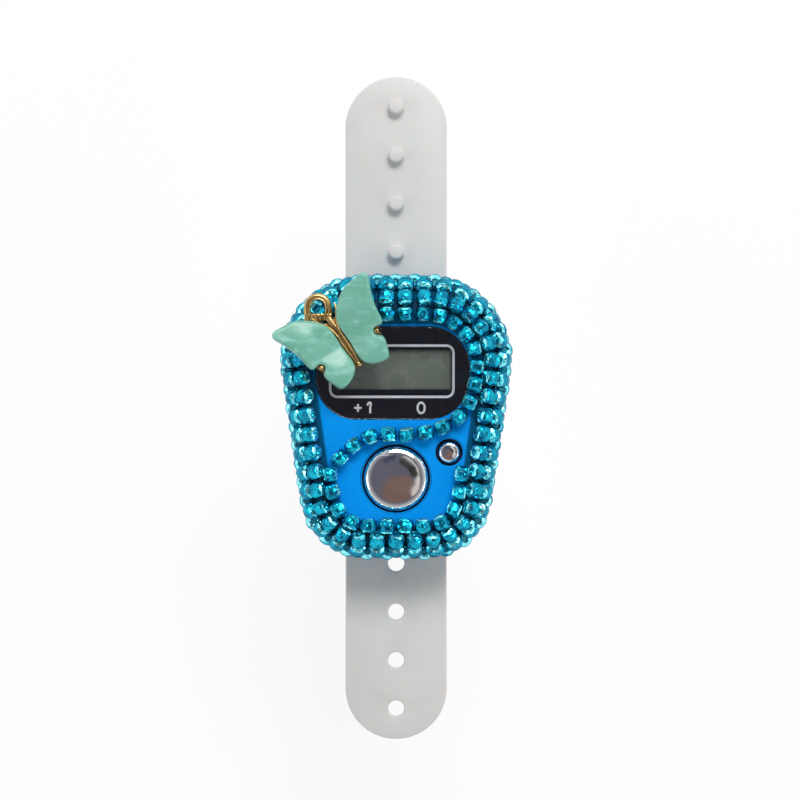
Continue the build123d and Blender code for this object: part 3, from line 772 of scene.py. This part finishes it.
display = {"x": -0.6, "y": 6.55 + slip, "width": 18.0, "length": 7.7, "corner": 1.2, "line": 0.36, "low": 13.16,
           "high": 13.19, "markY": 1.3 + slip, "pen": 0.15, "cornerSteps": 8}
tube = {"steps": 6, "sides": 3}
marks = {
    "markCount": (((-6.0, 0.0), (-4.9, 0.0)), ((-5.45, -0.55), (-5.45, 0.55)),
                  ((-4.15, 0.4), (-3.7, 0.75), (-3.7, 0.0), (-3.7, -0.75))),
    "markReset": (((4.1, 0.0), (3.95, 0.55), (3.6, 0.75), (3.25, 0.55), (3.1, 0.0), (3.25, -0.55), (3.6, -0.75),
                   (3.95, -0.55), (4.1, 0.0)),),
}


def makeDisplayFrame():
    clearSelection()
    bpy.ops.mesh.primitive_plane_add(size=1, location=(display["x"] * mm, display["y"] * mm, display["low"] * mm))
    obj = startPiece("displayFrame")
    obj.scale = (display["width"] * mm, display["length"] * mm, 1)
    settle(obj)
    editAll(obj)
    bpy.ops.mesh.bevel(offset=display["corner"] * mm, segments=display["cornerSteps"], affect="VERTICES")
    bpy.ops.mesh.select_all(action="SELECT")
    bpy.ops.mesh.inset(thickness=display["line"] * mm, depth=0)
    bpy.ops.mesh.delete(type="FACE")  # the inset leaves the inner face selected
    bpy.ops.mesh.select_all(action="SELECT")
    extrudeBy(display["high"] - display["low"])
    leaveEdit()
    outward(obj)
    dress(obj, "case", whitePrint, slot="lens_clear")


def makeTube(name, points, radius):
    curve = bpy.data.curves.new(name, "CURVE")
    curve.dimensions = "3D"
    spline = curve.splines.new("BEZIER")
    closed = points[0] == points[-1]
    points = points[:-1] if closed else points
    spline.bezier_points.add(len(points) - 1)
    for bez, co in zip(spline.bezier_points, points):
        bez.co = [value * mm for value in co]
        bez.handle_left_type = bez.handle_right_type = "AUTO"
    spline.use_cyclic_u = closed
    curve.resolution_u = tube["steps"]
    curve.bevel_depth = radius * mm
    curve.bevel_resolution = tube["sides"]
    curve.use_fill_caps = True
    obj = bpy.data.objects.new(name, curve)
    bpy.context.scene.collection.objects.link(obj)
    takeActive(obj)
    bpy.ops.object.convert(target="MESH")
    return bpy.context.object


def makeMark(name, strokes):
    # plain figures: pen strokes pressed flat into a print
    pieces = [makeTube("stroke", [(x, y, 0) for x, y in stroke], display["pen"]) for stroke in strokes]
    obj = joinAll(pieces, name)
    flat = (display["high"] - display["low"]) / (2 * display["pen"])
    level = (display["high"] + display["low"]) / 2
    place = Matrix.Translation((0, display["markY"] * mm, level * mm))
    obj.data.transform(place @ Matrix.Scale(flat, 4, (0, 0, 1)))
    outward(obj)
    smooth(obj)
    dress(obj, "case", whitePrint, slot="lens_clear")


makeDisplayFrame()
for markName, strokes in marks.items():
    makeMark(markName, strokes)
print("display print done")


charm = {"x": -7.74, "y": 11.27 + slip, "z": 16.45, "turn": 34.0, "dihedral": 11.0, "plate": 0.7, "thick": 1.4,
         "rim": 0.40, "rimSteps": 4, "voxel": 0.15, "relax": 0.5, "relaxTurns": 3}
wingOutline = {
    "lead": ((0.97, 1.5), (1.17, 2.35), (1.58, 3.1), (2.19, 3.85), (3.01, 4.55), (3.88, 5.15), (4.8, 5.55),
             (5.87, 5.73), (6.84, 5.82)),
    "tip": ((7.7, 5.88), (8.19, 5.70), (8.40, 5.38), (8.33, 4.75)),
    "side": ((7.92, 3.88), (7.45, 2.8), (6.99, 1.45), (6.73, 0.25), (6.53, -1.1)),
    "notch": ((6.22, -1.64), (5.71, -1.62), (5.05, -1.53), (4.66, -1.9), (4.66, -2.4), (5.0, -2.77), (5.34, -3.1)),
    "hind": ((5.33, -3.85), (5.07, -4.65), (4.8, -5.4), (4.52, -5.95), (4.11, -6.2), (3.57, -6.17)),
    "heel": ((2.91, -6.02), (2.02, -5.6), (1.37, -5.05), (0.99, -4.42)),
    "root": ((0.87, -3.65), (0.91, -2.28), (0.94, -0.95), (0.93, 0.43)),
}
wingSwells = ((0.34, 4.9, 2.6, 5.0), (0.24, 3.2, -3.9, 2.6), (-0.16, 2.4, 1.0, 1.2))  # height, out, head, spread
wingValley = {"depth": 0.26, "head": -1.3, "slope": 0.1, "spread": 0.9}


def charmPlace():
    place = Matrix.Translation((charm["x"] * mm, charm["y"] * mm, charm["z"] * mm))
    return place @ Matrix.Rotation(math.radians(charm["turn"]), 4, "Z")


def tiltSide(obj, sign):
    # onto one half of the frame: up by the dihedral, and mirrored for the left
    obj.data.transform(Matrix.Rotation(math.radians(-charm["dihedral"]), 4, "Y"))
    if sign < 0:
        obj.data.transform(Matrix.Scale(-1, 4, (1, 0, 0)))
    outward(obj)


def makeWing(name, sign, node):
    # a flat outline curve given a rounded thickness, remeshed, then cupped
    points = [p for part in wingOutline.values() for p in part]
    curve = bpy.data.curves.new(name, "CURVE")
    curve.dimensions = "2D"
    curve.fill_mode = "BOTH"
    spline = curve.splines.new("BEZIER")
    spline.bezier_points.add(len(points) - 1)
    for bez, (out, head) in zip(spline.bezier_points, points):
        bez.co = (out * mm, head * mm, 0)
        bez.handle_left_type = bez.handle_right_type = "AUTO"
    spline.use_cyclic_u = True
    curve.offset = -charm["rim"] * mm
    curve.extrude = (charm["thick"] / 2 - charm["rim"]) * mm
    curve.bevel_depth = charm["rim"] * mm
    curve.bevel_resolution = charm["rimSteps"]
    obj = bpy.data.objects.new(name, curve)
    bpy.context.scene.collection.objects.link(obj)
    takeActive(obj)
    bpy.ops.object.convert(target="MESH")
    obj = startPiece(name)
    applyModifier(obj, "REMESH", mode="VOXEL", voxel_size=charm["voxel"] * mm)
    applyModifier(obj, "SMOOTH", factor=charm["relax"], iterations=charm["relaxTurns"])
    for vert in obj.data.vertices:  # swells of fore and hind wing, a hollow by the root, a valley between
        out, head = vert.co.x / mm, vert.co.y / mm
        lift = sum(h * math.exp(-((out - o) ** 2 + (head - a) ** 2) / s) for h, o, a, s in wingSwells)
        across = head - wingValley["head"] - wingValley["slope"] * out
        lift -= wingValley["depth"] * math.exp(-across ** 2 / wingValley["spread"])
        if vert.co.z > 0:
            vert.co.z += lift * mm
    obj.data.transform(Matrix.Translation((0, 0, (charm["plate"] + charm["thick"] / 2) * mm)))
    tiltSide(obj, sign)
    obj.data.transform(charmPlace())
    takeActive(obj)
    bpy.ops.object.shade_smooth()
    dress(obj, "case", charmResin, node, slot="charm_resin")


frameShape = {
    "plate": ((0, 2.6), (6.4, 4.5), (5.55, -1.9), (3.9, -5.2), (0, -4.5)), "plateRound": 0.5, "plateFull": 0.98,
    "plateSteps": 4, "barSteps": 3, "prongSides": 16, "prongSteps": 4, "knobSides": 16, "knobRings": 10,
    "spine": ((-0.38, -4.4, 0.1), (0.38, 3.4, 1.5)), "spineEdge": 0.12,
    "ridge": ((1.92, 4.6, 0.85), (1.75, 3.9, 1.05), (1.15, 2.95, 1.35), (0.62, 1.9, 1.65), (0.36, 0.6, 1.8),
              (0.33, -1.0, 1.8), (0.28, -3.0, 1.75), (0.16, -4.2, 1.6)),
    "ridgeTube": 0.16, "prong": (5.05, -2.1), "prongRadius": 0.36, "prongFoot": 0.3, "prongTop": 1.75,
    "prongRound": 0.22, "knob": (0.0, -4.45, 1.3), "knobRadius": 0.4, "knobScale": (1, 1.2, 0.9), "near": 0.01,
}
loop = {"x": -0.34, "y": 5.40, "turn": -32.0, "arch": (1.56, 0.55, 0.42), "inner": (1.16, 0.95, 0.15), "leg": -1.3,
        "base": ((-1.95, -2.0, 0.1), (2.0, -0.9, 1.0)), "baseEdge": 0.2, "ribs": (-1.5, -0.9, -0.3, 0.3, 0.9, 1.5),
        "ribTube": 0.13, "ribEnd": 0.12, "archSteps": 8}


def makeBar(name, low, high, edge):
    clearSelection()
    bpy.ops.mesh.primitive_cube_add(size=1, location=[(a + b) / 2 * mm for a, b in zip(low, high)])
    obj = startPiece(name)
    obj.scale = [(b - a) * mm for a, b in zip(low, high)]
    settle(obj)
    editAll(obj)
    bpy.ops.mesh.bevel(offset=edge * mm, segments=frameShape["barSteps"])
    leaveEdit()
    return obj


def makeFramePlate(sign):
    clearSelection()
    outline = frameShape["plate"]
    bpy.ops.mesh.primitive_circle_add(vertices=len(outline), radius=1 * mm, fill_type="NGON")
    obj = startPiece("framePlate")
    for vert, (out, head) in zip(obj.data.vertices, outline):
        vert.co = (out * mm, head * mm, 0)
    editAll(obj)
    bpy.ops.mesh.bevel(offset=frameShape["plateRound"] * mm, segments=frameShape["plateSteps"], affect="VERTICES")
    bpy.ops.mesh.select_all(action="SELECT")
    extrudeBy(charm["plate"] * frameShape["plateFull"])
    leaveEdit()
    tiltSide(obj, sign)
    return obj


def makeProng(sign):
    # the rounded post that shows in the notch of each wing
    clearSelection()
    out, head = frameShape["prong"]
    foot, top = frameShape["prongFoot"], frameShape["prongTop"]
    bpy.ops.mesh.primitive_cylinder_add(
        vertices=frameShape["prongSides"], radius=frameShape["prongRadius"] * mm, depth=(top - foot) * mm,
        location=(out * mm, head * mm, (top + foot) / 2 * mm))
    obj = startPiece("prong")
    settle(obj)
    pickEdges(obj, lambda a, b: min(a.z, b.z) > (top - frameShape["near"]) * mm)
    bpy.ops.mesh.bevel(offset=frameShape["prongRound"] * mm, segments=frameShape["prongSteps"], profile=0.5)
    leaveEdit()
    tiltSide(obj, sign)
    return obj


def makeArch(name, radius, z, wire):
    turns = [i * math.pi / loop["archSteps"] for i in range(loop["archSteps"] + 1)]
    points = [(radius * math.cos(a), radius * math.sin(a), z) for a in turns]
    points = [(radius, loop["leg"], z)] + points + [(-radius, loop["leg"], z)]
    return makeTube(name, points, wire)


def makeLoop():
    # an arch on a ribbed base; the loop hangs upright while the butterfly leans
    low, high = loop["base"]
    pieces = [makeBar("loopBase", low, high, loop["baseEdge"])]
    for x in loop["ribs"]:
        run = [(x, y, high[2]) for y in (low[1] + loop["ribEnd"], high[1] - loop["ribEnd"])]
        pieces.append(makeTube("rib", run, loop["ribTube"]))
    pieces.append(makeArch("loopArch", *loop["arch"]))
    pieces.append(makeArch("loopRidge", *loop["inner"]))
    obj = joinAll(pieces, "loop")
    place = Matrix.Translation((loop["x"] * mm, loop["y"] * mm, 0))
    obj.data.transform(place @ Matrix.Rotation(math.radians(loop["turn"]), 4, "Z"))
    return obj


def makeFrame():
    pieces = [makeFramePlate(1), makeFramePlate(-1), makeProng(1), makeProng(-1), makeLoop()]
    pieces.append(makeBar("spine", *frameShape["spine"], frameShape["spineEdge"]))
    for side in (-1, 1):  # raised edge along each wing's root
        run = [(side * x, y, z) for x, y, z in frameShape["ridge"]]
        pieces.append(makeTube("ridge", run, frameShape["ridgeTube"]))
    clearSelection()
    bpy.ops.mesh.primitive_uv_sphere_add(
        segments=frameShape["knobSides"], ring_count=frameShape["knobRings"], radius=frameShape["knobRadius"] * mm,
        location=[value * mm for value in frameShape["knob"]])
    knob = startPiece("knob")
    knob.scale = frameShape["knobScale"]
    settle(knob)
    pieces.append(knob)
    obj = joinAll(pieces, "charmFrame")
    obj.data.transform(charmPlace())
    smooth(obj, 50)
    dress(obj, "case", charmGold, "charm_frame", slot="charm_gold")


makeWing("wingRight", 1, "charm_wing_right")
makeWing("wingLeft", -1, "charm_wing_left")
makeFrame()
print("charm done")


stageSet = {"camX": 0.57, "camY": 1.19, "camHeight": 300.0, "span": 800 / 7.0, "sensor": 36.0, "floor": -40.0,
            "floorSize": 3, "floorWhite": 0.85, "clip": 0.01}  # span: 800 pixels at 7 to the millimetre


def seenRays(tree):
    # 1 for what the camera sees, straight or in metal and glass
    path = tree.nodes.new("ShaderNodeLightPath").outputs
    seen = mathNode(tree, "MAXIMUM", path["Is Camera Ray"], path["Is Glossy Ray"])
    return mathNode(tree, "MAXIMUM", seen, path["Is Transmission Ray"])


def mixShaders(tree, fac, first, second):
    node = tree.nodes.new("ShaderNodeMixShader")
    for socket, value in zip(node.inputs, (fac, first, second)):
        tree.links.new(value, socket)
    return node.outputs["Shader"]


def makeFloor():
    # low enough for the strap's folded tails, and clear from below
    clearSelection()
    bpy.ops.mesh.primitive_plane_add(size=stageSet["floorSize"], location=(0, 0, stageSet["floor"] * mm))
    floor = startPiece("floor")
    mat = makeFinish("floorPaper", (0.95, 0.95, 0.95), (0.93, 0.93, 0.93), 40, (0.6, 0.7), 0)
    tree = mat.node_tree
    nd = tree.nodes
    white = mathNode(tree, "MULTIPLY", seenRays(tree), stageSet["floorWhite"])
    paper = mixShaders(tree, white, nd["Principled BSDF"].outputs["BSDF"],
                       nd.new("ShaderNodeEmission").outputs["Emission"])
    side = nd.new("ShaderNodeNewGeometry").outputs["Backfacing"]
    either = mixShaders(tree, side, paper, nd.new("ShaderNodeBsdfTransparent").outputs["BSDF"])
    tree.links.new(either, nd["Material Output"].inputs["Surface"])
    floor.data.materials.append(mat)


lampAim = (0, 0, 0.01)
softboxes = {
    "keyLight": {"place": (0.10, 0.38, 0.55), "size": (0.34, 0.22), "power": 2.9},
    "fillLight": {"place": (-0.42, -0.08, 0.34), "size": (0.20, 0.30), "power": 0.35},
    "sideLight": {"place": (0.42, -0.15, 0.30), "size": (0.14, 0.24), "power": 0.3},
}


def addSoftbox(name, box):
    lamp = bpy.data.lights.new(name, "AREA")
    lamp.shape = "RECTANGLE"
    lamp.size, lamp.size_y = box["size"]
    lamp.energy = box["power"]
    obj = bpy.data.objects.new(name, lamp)
    bpy.context.scene.collection.objects.link(obj)
    obj.location = box["place"]
    obj.rotation_euler = (Vector(lampAim) - Vector(box["place"])).to_track_quat("-Z", "Y").to_euler()


studio = {
    "horizon": (0.97, 0.98, 1.0), "zenith": (0.13, 0.13, 0.17), "start": 0.62, "end": 0.95, "light": 0.65, "soft": 0.65,
    # panels overhead: direction across and along, reach, colour
    "panels": ((0.01, -0.16, 0.17, (0.20, 0.125, 0.11)), (0.07, -0.10, 0.11, (0.21, 0.135, 0.12)),
               (-0.04, 0.17, 0.05, (0.05, 0.06, 0.10)), (-0.09, 0.14, 0.04, (0.07, 0.08, 0.13)),
               (0.22, -0.16, 0.10, (0.68, 0.64, 0.60)), (0.23, -0.06, 0.07, (0.70, 0.67, 0.63)),
               (0.21, 0.07, 0.08, (0.66, 0.65, 0.63)), (0.14, 0.17, 0.09, (0.64, 0.64, 0.63)),
               (0.07, 0.12, 0.05, (0.03, 0.03, 0.03)), (0.11, 0.09, 0.05, (0.03, 0.03, 0.03)),
               (0.145, 0.055, 0.05, (0.03, 0.03, 0.03)), (0.165, 0.015, 0.045, (0.04, 0.04, 0.04))),
}


def makeWorld():
    # a room, white round the sides and dim overhead, its panels laid out like the patches in the photo's button
    world = bpy.data.worlds.new("studio")
    bpy.context.scene.world = world
    world.use_nodes = True
    tree = world.node_tree
    place = tree.nodes.new("ShaderNodeTexCoord").outputs["Generated"]
    height = splitPlace(tree, place)["Z"]
    sky = rampNode(tree, height, studio["start"], studio["end"], studio["horizon"], studio["zenith"])
    for across, along, reach, colour in studio["panels"]:
        way = (across, along, math.sqrt(1 - across ** 2 - along ** 2))
        off = vectorNode(tree, "DISTANCE", place, way, out="Value")
        sky = mixColours(tree, spanNode(tree, off, reach, reach * studio["soft"]), sky, colour)
    level = spanNode(tree, seenRays(tree), 0.0, 1.0, studio["light"], 1.0, "LINEAR")
    feedAll(tree, tree.nodes["Background"], Color=sky, Strength=level)


def makeCamera():
    data = bpy.data.cameras.new("photoCamera")
    data.sensor_width = stageSet["sensor"]
    data.lens = stageSet["sensor"] * stageSet["camHeight"] / stageSet["span"]
    data.clip_start = stageSet["clip"]
    cam = bpy.data.objects.new("photoCamera", data)
    bpy.context.scene.collection.objects.link(cam)
    cam.location = (stageSet["camX"] * mm, stageSet["camY"] * mm, (faceZ + stageSet["camHeight"]) * mm)
    bpy.context.scene.camera = cam


makeFloor()
for boxName, box in softboxes.items():
    addSoftbox(boxName, box)
makeWorld()
makeCamera()
bpy.context.scene.view_settings.view_transform = "Standard"
print("stage set")
